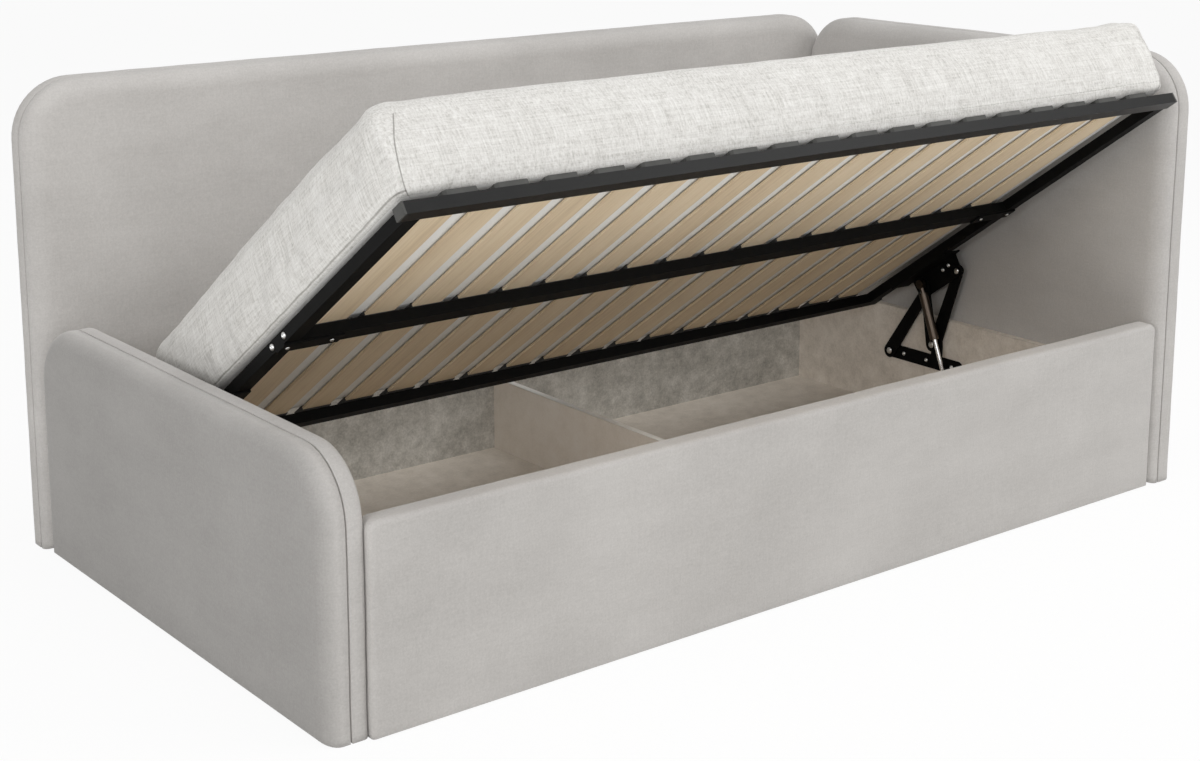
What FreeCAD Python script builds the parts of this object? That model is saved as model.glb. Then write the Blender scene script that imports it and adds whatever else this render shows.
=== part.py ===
"""Upholstered storage bed with a slatted platform that lifts sideways over its box.

The frame has X along the bed, Y from its open front to its back panel and Z up.
The origin lies on the floor under the middle of the box. The platform is drawn lifted.
"""
import FreeCAD
import Part
import math
import os
import re

# Driving sizes in millimetres, angles in degrees.
SIZES = {
    # upholstered panels
    "bed_length": 2160,
    "bed_depth": 1194,
    "back_height": 953,
    "foot_height": 479,
    "front_height": 370,
    "panel_thickness": 80,
    "inner_pad_thickness": 34,
    "core_thickness": 22,
    "core_inset": 20,
    "corner_radius": 120,
    "face_edge_radius": 20,
    "seam_edge_radius": 4,
    "foot_setback": 14,
    "front_thickness": 42,
    "front_core_thickness": 16,
    "front_core_inset": 18,
    "front_core_cover": 5,
    "front_edge_radius": 14,
    # storage box
    "wall_thickness": 16,
    "wall_height": 259,
    "bottom_thickness": 6,
    "divider_height": 175,
    "divider_offset": 14,
    "rest_width": 30,
    "rest_height": 30,
    "rest_margin": 110,
    "angle_leg": 45,
    "angle_plate": 3,
    "angle_height": 120,
    "angle_floor_gap": 70,
    # slatted platform
    "front_gap": 14,
    "back_gap": 12,
    "platform_gap": 3,
    "end_gap": 49,
    "rail_width": 30,
    "rail_height": 22,
    "tube_wall": 1.5,
    "end_recess": 8,
    "beam_width": 40,
    "beam_height": 22,
    "beam_plate_length": 90,
    "beam_plate_width": 34,
    "cap_flange": 4,
    "cap_plug": 25,
    "cap_clearance": 0.1,
    "slat_count": 18,
    "slat_margin": 110,
    "slat_width": 63,
    "slat_thickness": 6,
    "slat_edge_radius": 2,
    "slat_end_gap": 1,
    "holder_wall": 1.2,
    "holder_depth": 40,
    "holder_end": 6,
    "holder_corner": 5,
    "holder_clearance": 0.3,
    # mattress
    "mattress_margin": 6,
    "mattress_shift": -8,
    "mattress_height": 182,
    "mattress_crown": 12,
    "mattress_front_inset": 2,
    "mattress_back_inset": 14,
    "mattress_bulge": 12,
    "mattress_top_radius": 45,
    "mattress_foot_radius": 18,
    "mattress_end_radius": 58,
    "mattress_seat_gap": 0.4,
    # lifting mechanism, measured from the bed's front face and the floor
    "lift_angle": 35.4,
    "open_back_y": 801.3,
    "open_back_z": 261.9,
    "front_pivot_y": 617.214,
    "front_pivot_z": 196.403,
    "rear_pivot_y": 765.438,
    "rear_pivot_z": 148.067,
    "spring_pivot_y": 550,
    "spring_pivot_z": 100,
    "front_pin_forward": 280,
    "front_pin_drop": 40,
    "rear_pin_forward": 150,
    "rear_pin_drop": 40,
    "crank_length": 150,
    "crank_turn": 30,
    "crank_gap": 0.9,
    "bar_radius": 17,
    "plate_thickness": 4,
    "link_thickness": 5,
    "link_root_radius": 17,
    "link_tip_radius": 13,
    "layer_gap": 0.3,
    "boss_height": 2,
    "boss_radius": 13,
    "pin_radius": 6,
    "pin_clearance": 0.05,
    "rivet_radius": 9,
    "rivet_height": 2.5,
    "flange_length": 200,
    "cylinder_radius": 11,
    "cylinder_wall": 2.5,
    "cylinder_length": 115,
    "cylinder_neck": 22,
    "neck_radius": 6,
    "rod_radius": 5,
    "rod_neck": 18,
    "eye_radius": 11,
    "eye_thickness": 13,
    "piston_length": 12,
    "piston_gap": 3,
    "gland_length": 10,
}

doc = FreeCAD.newDocument("storage_bed")
sheet = doc.addObject("Spreadsheet::Sheet", "sizes")
for row, (alias, value) in enumerate(SIZES.items(), start=1):
    sheet.set(f"A{row}", alias)
    sheet.set(f"B{row}", str(value))
    sheet.setAlias(f"B{row}", alias)
doc.recompute()

nodes = []
X_AXIS = FreeCAD.Vector(1, 0, 0)


def size(alias):
    """The value of one cell of the sheet."""
    return float(sheet.get(alias))


def bound(formula):
    """A formula of plain size names, written as an expression on the sheet."""
    return re.sub(r"[a-z]\w*", lambda word: "sizes." + word.group(0), formula)


def keep(thing, label):
    """Names a finished sub-part, which is then exported under that name."""
    thing.Label = label
    nodes.append(thing)
    return thing


def box(name, spans):
    """A block whose X, Y and Z spans are pairs of formulas, low end first."""
    block = doc.addObject("Part::Box", name)
    for side, axis, (low, high) in zip(("Length", "Width", "Height"), "xyz", spans):
        block.setExpression(side, bound(f"({high}) - ({low})"))
        block.setExpression(f"Placement.Base.{axis}", bound(low))
    doc.recompute()
    return block


def cut(name, base, tool):
    """One solid less another."""
    result = doc.addObject("Part::Cut", name)
    result.Base = base
    result.Tool = tool
    doc.recompute()
    return result


def fillet(name, base, radius, wanted):
    """Rounds the edges of a solid that a test picks out."""
    result = doc.addObject("Part::Fillet", name)
    result.Base = base
    picked = enumerate(base.Shape.Edges, start=1)
    result.Edges = [(index, radius, radius) for index, edge in picked if wanted(edge)]
    doc.recompute()
    return result


def feature(name, shape, placement=None):
    """A solid or a group of solids made with the sizes that the sheet holds."""
    result = doc.addObject("Part::Feature", name)
    result.Shape = shape
    if placement:
        result.Placement = placement
    return result


def lies_along(edge, axis):
    """True where a straight edge runs along an axis of the frame."""
    direction = edge.tangentAt(edge.FirstParameter)
    return abs(abs(getattr(direction, axis)) - 1) < 1e-6 and edge.Curve.TypeId == "Part::GeomLine"


def in_plane(edge, axis, place):
    """True where the whole edge lies in one plane across an axis."""
    bounds = edge.BoundBox
    low = getattr(bounds, axis.upper() + "Min")
    high = getattr(bounds, axis.upper() + "Max")
    return abs(low - place) < 0.01 and abs(high - place) < 0.01


# Places that several sub-parts share, as formulas on the sheet.
HALF_LENGTH = "bed_length / 2"
HALF_DEPTH = "bed_depth / 2"
FRONT_FACE = f"-{HALF_DEPTH}"
FRONT_INSIDE = f"-{HALF_DEPTH} + front_thickness"
BACK_FACE = f"{HALF_DEPTH} - panel_thickness"
BACK_WALL_FACE = f"{HALF_DEPTH} - panel_thickness - wall_thickness"
END_FACE = f"{HALF_LENGTH} - panel_thickness"
WALL_FACE = f"{HALF_LENGTH} - panel_thickness - wall_thickness"


def upholstered_panel(name, across, seam, ends, low, high, outward):
    """A board between two foam pads that meet at a seam plane round its edge.

    across is the axis through the panel, seam the place of its seam plane on that axis,
    ends the two limits along the panel, and outward the sign of its outer side.
    """
    inner_face = f"{seam} - ({outward}) * inner_pad_thickness"
    outer_face = f"{seam} + ({outward}) * (panel_thickness - inner_pad_thickness)"
    core_out = f"{seam} + ({outward}) * core_thickness / 2"
    core_in = f"{seam} - ({outward}) * core_thickness / 2"

    def spans(first, second, inset, top):
        """Orders the three spans of a slab of this panel."""
        thick = (first, second) if outward > 0 else (second, first)
        run = (f"{ends[0]} + {inset}", f"{ends[1]} - {inset}")
        return (thick, run, (low, top)) if across == "x" else (run, thick, (low, top))

    def rounded(label, slab, inset):
        """Rounds the two upper corners of a slab."""
        top = slab.Shape.BoundBox.ZMax
        radius = size("corner_radius") - inset
        corners = lambda edge: lies_along(edge, across) and in_plane(edge, "z", top)
        return fillet(label, slab, radius, corners)

    inset = size("core_inset")
    core_block = box(f"{name}_core_block", spans(core_in, core_out, "core_inset", f"{high} - core_inset"))
    core = keep(rounded(f"{name}_core_board", core_block, inset), f"{name}_core")

    for pad, first, second in (("inner", inner_face, seam), ("outer", seam, outer_face)):
        slab = box(f"{name}_{pad}_block", spans(first, second, "0", high))
        shaped = rounded(f"{name}_{pad}_slab", slab, 0)
        bounds = shaped.Shape.BoundBox
        low_side, high_side = ((bounds.XMin, bounds.XMax) if across == "x" else (bounds.YMin, bounds.YMax))
        free_side = high_side if (pad == "outer") == (outward > 0) else low_side
        seam_side = low_side if free_side == high_side else high_side
        above_floor = lambda edge: edge.BoundBox.ZMax > bounds.ZMin + 0.01
        face_edge = lambda edge: in_plane(edge, across, free_side) and above_floor(edge)
        seam_edge = lambda edge: in_plane(edge, across, seam_side) and above_floor(edge)
        soft = fillet(f"{name}_{pad}_soft", shaped, size("face_edge_radius"), face_edge)
        seamed = fillet(f"{name}_{pad}_seamed", soft, size("seam_edge_radius"), seam_edge)
        keep(cut(f"{name}_{pad}_pad_solid", seamed, core), f"{name}_{pad}_pad")


def make_panels():
    """Back, head and foot panels, and the low front panel between the two ends."""
    back_seam = f"{BACK_FACE} + inner_pad_thickness"
    upholstered_panel("back", "y", back_seam, (f"-{HALF_LENGTH}", HALF_LENGTH), "0", "back_height", 1)
    head_seam = f"{END_FACE} + inner_pad_thickness"
    upholstered_panel("head", "x", head_seam, (FRONT_FACE, BACK_FACE), "0", "back_height", 1)
    foot_seam = f"-({END_FACE}) - inner_pad_thickness"
    foot_front = f"{FRONT_FACE} + foot_setback"
    upholstered_panel("foot", "x", foot_seam, (foot_front, BACK_FACE), "0", "foot_height", -1)

    core_back = f"{FRONT_INSIDE} - front_core_cover"
    core = keep(box("front_core_board", (
        (f"-({END_FACE}) + front_core_inset", f"{END_FACE} - front_core_inset"),
        (f"{core_back} - front_core_thickness", core_back),
        ("0", "front_height - front_core_inset"))), "front_core")
    slab = box("front_pad_block", (
        (f"-({END_FACE})", END_FACE), (FRONT_FACE, FRONT_INSIDE), ("0", "front_height")))
    face = slab.Shape.BoundBox
    free_edge = lambda edge: edge.BoundBox.ZMax > 1 and (
        in_plane(edge, "y", face.YMin) or in_plane(edge, "z", face.ZMax) or lies_along(edge, "z"))
    soft = fillet("front_pad_soft", slab, size("front_edge_radius"), free_edge)
    keep(cut("front_pad_solid", soft, core), "front_pad")


def make_box():
    """The storage box behind the front panel: walls, two bottoms, a divider and fittings."""
    for name, low, high in (("left", f"-({END_FACE})", f"-({WALL_FACE})"), ("right", WALL_FACE, END_FACE)):
        keep(box(f"{name}_wall_board", (
            (low, high), (FRONT_INSIDE, BACK_FACE), ("0", "wall_height"))), f"{name}_wall")
    keep(box("back_wall_board", (
        (f"-({WALL_FACE})", WALL_FACE), (BACK_WALL_FACE, BACK_FACE), ("0", "wall_height"))), "back_wall")
    for name, low, high in (
            ("left", f"-({WALL_FACE})", "divider_offset"), ("right", "divider_offset", WALL_FACE)):
        keep(box(f"{name}_bottom_board", (
            (low, high), (FRONT_INSIDE, BACK_WALL_FACE), ("0", "bottom_thickness"))), f"{name}_bottom")
    keep(box("divider_board", (
        ("divider_offset - wall_thickness / 2", "divider_offset + wall_thickness / 2"),
        (FRONT_INSIDE, BACK_WALL_FACE), ("bottom_thickness", "divider_height"))), "divider")

    rest_top = "wall_height + platform_gap - layer_gap"
    keep(box("front_rest_batten", (
        (f"-({WALL_FACE}) + rest_margin", f"{WALL_FACE} - rest_margin"),
        (FRONT_INSIDE, f"{FRONT_INSIDE} + rest_width"),
        (f"{rest_top} - rest_height", rest_top))), "front_rest")

    angles = []
    wall = size("bed_length") / 2 - size("panel_thickness") - size("wall_thickness")
    inside = size("front_thickness") - size("bed_depth") / 2
    leg, plate = size("angle_leg"), size("angle_plate")
    for side in (-1, 1):
        outer = Part.makeBox(leg, leg, size("angle_height"))
        hollow = Part.makeBox(leg, leg, size("angle_height"), FreeCAD.Vector(plate, plate, 0))
        angle = outer.cut(hollow)
        if side > 0:
            angle = angle.mirror(FreeCAD.Vector(), X_AXIS)
        angle.translate(FreeCAD.Vector(side * wall, inside, size("angle_floor_gap")))
        angles.append(angle)
    keep(feature("corner_angle_pair", Part.makeCompound(angles)), "corner_angles")


# The platform is drawn flat, with its back lower edge on the X axis, and then lifted.
FRAME_LENGTH = "(bed_length - 2 * panel_thickness - 2 * end_gap)"
frame_length = size("bed_length") - 2 * size("panel_thickness") - 2 * size("end_gap")
PLATFORM_WIDTH = "(bed_depth - panel_thickness - front_thickness - front_gap - back_gap)"
platform_width = (size("bed_depth") - size("panel_thickness") - size("front_thickness")
                  - size("front_gap") - size("back_gap"))
lifted = FreeCAD.Placement(
    FreeCAD.Vector(0, size("open_back_y") - size("bed_depth") / 2, size("open_back_z")),
    FreeCAD.Rotation(X_AXIS, -size("lift_angle")))


def tube(name, label, along, spans):
    """A square tube of the platform's frame, open at both ends, in its lifted place."""
    outer = box(f"{name}_outer", spans)
    thinned = [(f"{low} + tube_wall", f"{high} - tube_wall") for low, high in spans]
    thinned["xy".index(along)] = spans["xy".index(along)]
    inner = box(f"{name}_bore", thinned)
    result = cut(f"{name}_tube", outer, inner)
    result.Placement = lifted
    return keep(result, label)


def slat_places():
    """The middles of the slats along X."""
    count = int(size("slat_count"))
    span = frame_length - 2 * size("slat_margin")
    return [-span / 2 + index * span / (count - 1) for index in range(count)]


def holder(depth, base, closed_side):
    """A plastic holder round a slat, with the slat's slot open on one side or on both."""
    wall, slack = size("holder_wall"), size("holder_clearance")
    slot_width = size("slat_width") + 2 * slack
    slot_height = size("slat_thickness") + 2 * slack
    width = slot_width + 2 * wall
    height = slot_height + 2 * wall
    body = Part.makeBox(width, depth, height, FreeCAD.Vector(-width / 2, -depth / 2, base))
    if closed_side:
        end_face = closed_side * depth / 2
        corners = [edge for edge in body.Edges if lies_along(edge, "z") and in_plane(edge, "y", end_face)]
        body = body.makeChamfer(size("holder_corner"), corners)
    slot = Part.makeBox(slot_width, 2 * depth, slot_height,
                        FreeCAD.Vector(-slot_width / 2, -depth, base + wall))
    slot.translate(FreeCAD.Vector(0, -closed_side * (depth / 2 + size("holder_end")), 0))
    return body.cut(slot)


def make_platform():
    """The tube frame with its end caps, centre beam, slats and slat holders."""
    half = f"{FRAME_LENGTH} / 2"
    end_face = f"{half} - end_recess"
    rails = (("back", "-rail_width", "0"),
             ("front", f"-{PLATFORM_WIDTH}", f"-{PLATFORM_WIDTH} + rail_width"))
    for name, low, high in rails:
        tube(f"{name}_rail", f"{name}_rail", "x", [(f"-{half}", half), (low, high), ("0", "rail_height")])
    between = (f"-{PLATFORM_WIDTH} + rail_width", "-rail_width")
    for name, low, high in (("left", f"-({end_face})", f"-({end_face}) + rail_width"),
                            ("right", f"{end_face} - rail_width", end_face)):
        tube(f"{name}_end", f"{name}_end_rail", "y", [(low, high), between, ("0", "rail_height")])
    beam_end = f"{end_face} - rail_width"
    tube("centre", "centre_beam", "x", [
        (f"-({beam_end})", beam_end),
        (f"-{PLATFORM_WIDTH} / 2 - beam_width / 2", f"-{PLATFORM_WIDTH} / 2 + beam_width / 2"),
        ("0", "beam_height")])

    plates, caps = [], []
    plate, clear = size("plate_thickness"), size("cap_clearance")
    for side in (-1, 1):
        inner = frame_length / 2 - size("end_recess") - size("rail_width")
        length, width = size("beam_plate_length"), size("beam_plate_width")
        place = FreeCAD.Vector(min(side * (inner + size("rail_width")), side * (inner - length)),
                               -platform_width / 2 - width / 2, -plate)
        plates.append(Part.makeBox(length + size("rail_width"), width, plate, place))
        for front in (0, 1):
            middle = -size("rail_width") / 2 - front * (platform_width - size("rail_width"))
            end = side * frame_length / 2
            flange = Part.makeBox(size("cap_flange"), size("rail_width"), size("rail_height"),
                                  FreeCAD.Vector(min(end, end + side * size("cap_flange")),
                                                 middle - size("rail_width") / 2, 0))
            thin = size("tube_wall") + clear
            plug = Part.makeBox(size("cap_plug"), size("rail_width") - 2 * thin,
                                size("rail_height") - 2 * thin,
                                FreeCAD.Vector(min(end, end - side * size("cap_plug")),
                                               middle - size("rail_width") / 2 + thin, thin))
            caps.append(flange.fuse(plug).removeSplitter())
    keep(feature("beam_plate_pair", Part.makeCompound(plates), lifted), "beam_plates")
    keep(feature("rail_cap_set", Part.makeCompound(caps), lifted), "rail_caps")

    slot_floor = "rail_height + holder_wall + holder_clearance"
    end_cover = "(holder_end + slat_end_gap)"
    pitch = f"(({FRAME_LENGTH} - 2 * slat_margin) / (slat_count - 1))"
    for number in range(1, len(slat_places()) + 1):
        centre = f"{number - 1} * {pitch} - {half} + slat_margin"
        blank = box(f"slat_{number:02d}_blank", (
            (f"{centre} - slat_width / 2", f"{centre} + slat_width / 2"),
            (f"-{PLATFORM_WIDTH} + {end_cover}", f"-{end_cover}"),
            (slot_floor, f"{slot_floor} + slat_thickness")))
        slat = fillet(f"slat_{number:02d}_board", blank, size("slat_edge_radius"),
                      lambda edge: lies_along(edge, "y"))
        slat.Placement = lifted
        keep(slat, f"slat_{number:02d}")

    depth = size("holder_depth")
    rows = (("front", -platform_width + depth / 2, -1), ("centre", -platform_width / 2, 0),
            ("back", -depth / 2, 1))
    for name, place, closed_side in rows:
        clip = holder(depth, size("rail_height"), closed_side)
        group = [clip.translated(FreeCAD.Vector(middle, place, 0)) for middle in slat_places()]
        keep(feature(f"{name}_holder_row", Part.makeCompound(group), lifted), f"{name}_holders")


def rounding(inward, radius):
    """How far a quarter round is drawn in at a distance inward of its end."""
    left = max(0, radius - inward)
    return radius - math.sqrt(radius ** 2 - left ** 2)


def mattress_section(place, inward, rise):
    """One closed outline of the mattress across its length, drawn in towards its ends."""
    draw_in = rounding(inward, size("mattress_foot_radius"))
    sink = rounding(inward, size("mattress_end_radius"))
    back = -size("mattress_back_inset") - draw_in
    front = -platform_width + size("mattress_front_inset") + draw_in
    seat = (size("rail_height") + 2 * size("holder_wall") + 2 * size("holder_clearance")
            + size("slat_thickness") + size("mattress_seat_gap"))
    low, high = seat + draw_in, seat + size("mattress_height") - sink
    bulge, top, foot = size("mattress_bulge"), size("mattress_top_radius"), size("mattress_foot_radius")
    bend = 1 - math.sqrt(0.5)

    def point(across, up):
        """A point of the outline in the plane of this section."""
        return FreeCAD.Vector(place, across, up)

    def arc(first, middle, last):
        """An arc of the outline through three points."""
        return Part.Arc(first, middle, last).toShape()

    half_up = (low + foot + high - top) / 2
    half_across = (back + front) / 2
    corners = [point(front + foot, low), point(back - foot, low), point(back, low + foot),
               point(back, high - top), point(back - top, high), point(front + top, high),
               point(front, high - top), point(front, low + foot)]
    edges = [
        Part.LineSegment(corners[0], corners[1]).toShape(),
        arc(corners[1], point(back - foot * bend, low + foot * bend), corners[2]),
        arc(corners[2], point(back + bulge, half_up), corners[3]),
        arc(corners[3], point(back - top * bend, high - top * bend), corners[4]),
        arc(corners[4], point(half_across, high + rise), corners[5]),
        arc(corners[5], point(front + top * bend, high - top * bend), corners[6]),
        arc(corners[6], point(front - bulge, half_up), corners[7]),
        arc(corners[7], point(front + foot * bend, low + foot * bend), corners[0])]
    return Part.Wire(edges)


def make_mattress():
    """The mattress: crowned on top, swollen at its sides and drawn in round its ends."""
    half, shift = frame_length / 2 - size("mattress_margin"), size("mattress_shift")
    crown, foot, end = size("mattress_crown"), size("mattress_foot_radius"), size("mattress_end_radius")
    ends = ((0, 0.3), (foot / 6, 0.4), (foot / 2, 0.5), (foot, 0.6), (end / 2, 0.65), (end, 0.7))
    stations = [(inward - half, inward, share) for inward, share in ends]
    stations += [(0, half, 1)]
    stations += [(half - inward, inward, share) for inward, share in reversed(ends)]
    outlines = [mattress_section(shift + at, inward, crown * share) for at, inward, share in stations]
    keep(feature("mattress_body", Part.makeLoft(outlines, True, True), lifted), "mattress")


def pivot(y_alias, z_alias):
    """A pivot on the box, from its distances to the bed's front face and to the floor."""
    return FreeCAD.Vector(0, size(y_alias) - size("bed_depth") / 2, size(z_alias))


def on_platform(forward, drop):
    """A point of the lifted platform, measured from its back lower edge."""
    return lifted.multVec(FreeCAD.Vector(0, -forward, -drop))


def belt(circles, low, high):
    """A flat plate between two X places, its outline wrapped round circles in left-hand turns."""
    outline = []
    count = len(circles)
    for index, (centre, radius) in enumerate(circles):
        after, next_radius = circles[(index + 1) % count]
        run = after - centre
        lead = math.atan2(run.z, run.y) - math.acos((radius - next_radius) / run.Length)
        outline.append((index, lead))
    edges, touch = [], []
    for index, lead in outline:
        centre, radius = circles[index]
        after, next_radius = circles[(index + 1) % count]
        out = FreeCAD.Vector(0, math.cos(lead), math.sin(lead))
        touch.append((centre + out * radius, after + out * next_radius, lead))
    for index in range(count):
        start, end, lead = touch[index]
        next_start, _, next_lead = touch[(index + 1) % count]
        centre, radius = circles[(index + 1) % count]
        edges.append(Part.LineSegment(start, end).toShape())
        turn = (next_lead - lead) % (2 * math.pi)
        middle_lead = lead + turn / 2
        middle = centre + FreeCAD.Vector(0, math.cos(middle_lead), math.sin(middle_lead)) * radius
        edges.append(Part.Arc(end, middle, next_start).toShape())
    face = Part.Face(Part.Wire(edges))
    plate = face.extrude(FreeCAD.Vector(high - low, 0, 0))
    plate.translate(FreeCAD.Vector(low, 0, 0))
    return plate


def pin(centre, radius, low, high):
    """A round pin along X."""
    return Part.makeCylinder(radius, high - low, FreeCAD.Vector(low, centre.y, centre.z), X_AXIS)


def make_mechanism():
    """The two lifting mechanisms: brackets, links and gas springs, one mirrored from the other."""
    wall = size("bed_length") / 2 - size("panel_thickness") - size("wall_thickness")
    plate, link, gap = size("plate_thickness"), size("link_thickness"), size("layer_gap")
    base_in = wall - plate
    link_out = base_in - size("boss_height") - gap
    link_in = link_out - link
    leg_out = link_in - gap
    leg_in = leg_out - plate
    crank_out = leg_in - size("rivet_height") - size("crank_gap")
    crank_in = crank_out - plate
    axis_x = crank_in - size("crank_gap") - size("cylinder_radius")
    eye_out = axis_x + size("eye_thickness") / 2
    eye_in = axis_x - size("eye_thickness") / 2

    front_base = pivot("front_pivot_y", "front_pivot_z")
    rear_base = pivot("rear_pivot_y", "rear_pivot_z")
    spring_base = pivot("spring_pivot_y", "spring_pivot_z")
    front_top = on_platform(size("front_pin_forward"), size("front_pin_drop"))
    rear_top = on_platform(size("rear_pin_forward"), size("rear_pin_drop"))
    along_crank = FreeCAD.Rotation(X_AXIS, -size("crank_turn")).multVec(front_top - front_base)
    spring_top = front_base + along_crank * (size("crank_length") / along_crank.Length)
    pin_radius, rivet = size("pin_radius"), size("rivet_radius")
    hole = pin_radius + size("pin_clearance")
    root, tip, bar = size("link_root_radius"), size("link_tip_radius"), size("bar_radius")

    foot_of = lambda point: FreeCAD.Vector(0, point.y, rear_base.z)
    base = belt(((foot_of(spring_base), bar), (rear_base, bar)), base_in, wall)
    for point in (front_base, spring_base):
        base = base.fuse(belt(((foot_of(point), bar), (point, bar)), base_in, wall))
    for point, pin_end in ((front_base, crank_in), (rear_base, link_in)):
        base = base.fuse(pin(point, size("boss_radius"), base_in - size("boss_height"), base_in))
        base = base.fuse(pin(point, pin_radius, pin_end, base_in))
    base = base.fuse(pin(spring_base, pin_radius, eye_in - gap, base_in)).removeSplitter()

    front = belt(((front_base, root), (front_top, tip)), link_in, link_out)
    front = front.fuse(pin(front_base, size("boss_radius"), crank_out, link_in))
    front = front.fuse(belt(((front_base, root), (spring_top, tip)), crank_in, crank_out))
    front = front.fuse(pin(spring_top, pin_radius, eye_out + gap, crank_in)).removeSplitter()
    front = front.cut(pin(front_base, hole, crank_in, link_out))
    front = front.cut(pin(front_top, hole, link_in, link_out))
    rear = belt(((rear_base, root), (rear_top, tip)), link_in, link_out)
    rear = rear.cut(pin(rear_base, hole, link_in, link_out))

    edge = plate / 2
    front_low = size("front_pin_forward") + tip
    rear_low = size("rear_pin_forward") - tip
    leg = belt(((front_top, tip), (rear_top, tip), (on_platform(rear_low, edge), edge),
                (on_platform(front_low, edge), edge)), leg_in, leg_out)
    rail_in = frame_length / 2 - size("end_recess") - size("rail_width")
    flange_middle = (size("front_pin_forward") + size("rear_pin_forward")) / 2
    flange = Part.makeBox(leg_in - rail_in, size("flange_length"), plate,
                          FreeCAD.Vector(rail_in, -flange_middle - size("flange_length") / 2, -plate))
    flange.transformShape(lifted.toMatrix())
    upper = leg.fuse(flange)
    upper = upper.fuse(pin(front_top, pin_radius, leg_in, link_out + gap))
    for point in (front_top, rear_top):
        upper = upper.fuse(pin(point, rivet, leg_in - size("rivet_height"), leg_in))
    upper = upper.removeSplitter()

    line = spring_top - spring_base
    length = line.Length
    tilt = FreeCAD.Placement(FreeCAD.Vector(axis_x, spring_base.y, spring_base.z),
                             FreeCAD.Rotation(FreeCAD.Vector(0, 0, 1), line))
    eye_low = -size("eye_thickness") / 2
    eye = lambda height: Part.makeCylinder(size("eye_radius"), size("eye_thickness"),
                                           FreeCAD.Vector(eye_low, 0, height), X_AXIS)
    tube_top = length - size("cylinder_neck")
    tube_low = tube_top - size("cylinder_length")
    bore = size("cylinder_radius") - size("cylinder_wall")
    running = size("pin_clearance")
    along = lambda radius, low, high: Part.makeCylinder(radius, high - low, FreeCAD.Vector(0, 0, low))
    cylinder = along(size("cylinder_radius"), tube_low, tube_top)
    cylinder = cylinder.cut(along(bore, tube_low + size("gland_length"), tube_top - size("gland_length")))
    cylinder = cylinder.cut(along(size("rod_radius") + running, tube_low, tube_low + size("gland_length")))
    cylinder = cylinder.fuse(along(size("neck_radius"), tube_top, length)).fuse(eye(length))
    piston_low = tube_low + size("gland_length") + size("piston_gap")
    rod = along(size("rod_radius"), 0, piston_low + size("piston_length"))
    rod = rod.fuse(along(bore - running, piston_low, piston_low + size("piston_length")))
    rod = rod.fuse(along(size("neck_radius"), 0, size("rod_neck"))).fuse(eye(0))
    rod = rod.cut(Part.makeCylinder(hole, size("eye_thickness"), FreeCAD.Vector(eye_low, 0, 0), X_AXIS))
    for thing in (cylinder, rod):
        thing.transformShape(tilt.toMatrix())

    pieces = (("base_bracket", base), ("front_link", front), ("rear_link", rear),
              ("upper_bracket", upper), ("gas_cylinder", cylinder), ("gas_rod", rod))
    for name, shape in pieces:
        keep(feature(f"{name}_at_head", shape), f"{name}_right")
        mirrored = shape.mirror(FreeCAD.Vector(), X_AXIS)
        keep(feature(f"{name}_at_foot", mirrored), f"{name}_left")


def export():
    """Checks every object of the document and writes each sub-part to its own file."""
    doc.recompute()
    for thing in doc.Objects:
        if "Invalid" in thing.State or "Error" in thing.State:
            raise RuntimeError(f"{thing.Label} failed: {thing.State}")
    os.makedirs("parts", exist_ok=True)
    for node in nodes:
        shape = node.Shape
        if shape.isNull() or not shape.isValid() or not shape.Solids:
            raise RuntimeError(f"{node.Label} has no valid solid")
        shape.exportStep(f"parts/{node.Label}.step")
    print(len(nodes), "sub-parts written")


make_panels()
make_box()
make_platform()
make_mattress()
make_mechanism()
export()
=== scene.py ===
"""Dressed model of an upholstered storage bed with its slatted platform lifted.

Lengths are in metres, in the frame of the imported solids: X along the bed towards its tall end,
Y from the open front to the back panel, Z up from the floor.
"""
import bmesh
import bpy
import math
from mathutils import Euler, Matrix, Vector, noise


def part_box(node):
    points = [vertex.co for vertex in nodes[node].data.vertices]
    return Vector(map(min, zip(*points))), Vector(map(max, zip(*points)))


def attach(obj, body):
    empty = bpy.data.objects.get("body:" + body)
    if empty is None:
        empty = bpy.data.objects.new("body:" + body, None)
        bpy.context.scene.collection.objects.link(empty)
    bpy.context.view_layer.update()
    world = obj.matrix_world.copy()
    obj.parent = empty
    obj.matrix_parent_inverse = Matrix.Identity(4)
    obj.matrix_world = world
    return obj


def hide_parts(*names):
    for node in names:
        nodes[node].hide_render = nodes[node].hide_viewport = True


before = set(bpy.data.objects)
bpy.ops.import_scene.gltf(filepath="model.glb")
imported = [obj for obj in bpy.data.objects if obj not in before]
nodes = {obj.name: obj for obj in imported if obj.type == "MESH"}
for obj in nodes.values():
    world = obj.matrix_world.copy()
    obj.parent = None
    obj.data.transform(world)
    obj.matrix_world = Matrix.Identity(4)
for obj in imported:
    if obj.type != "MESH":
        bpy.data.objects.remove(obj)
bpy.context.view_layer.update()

# A fixed seed, so that the cloth is the same on every run.
NOISE_SEED = 5
noise.seed_set(NOISE_SEED)

# The slatted platform is described flat, with its back lower edge on the X axis, and then lifted.
LIFT_ANGLE = math.radians(35.4)
PLATFORM_EDGE = Vector((0.0, 0.2043, 0.2619))
LIFTED = Matrix.Translation(PLATFORM_EDGE) @ Matrix.Rotation(-LIFT_ANGLE, 4, "X")
SIDES = (("left", -1), ("right", 1))


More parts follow.
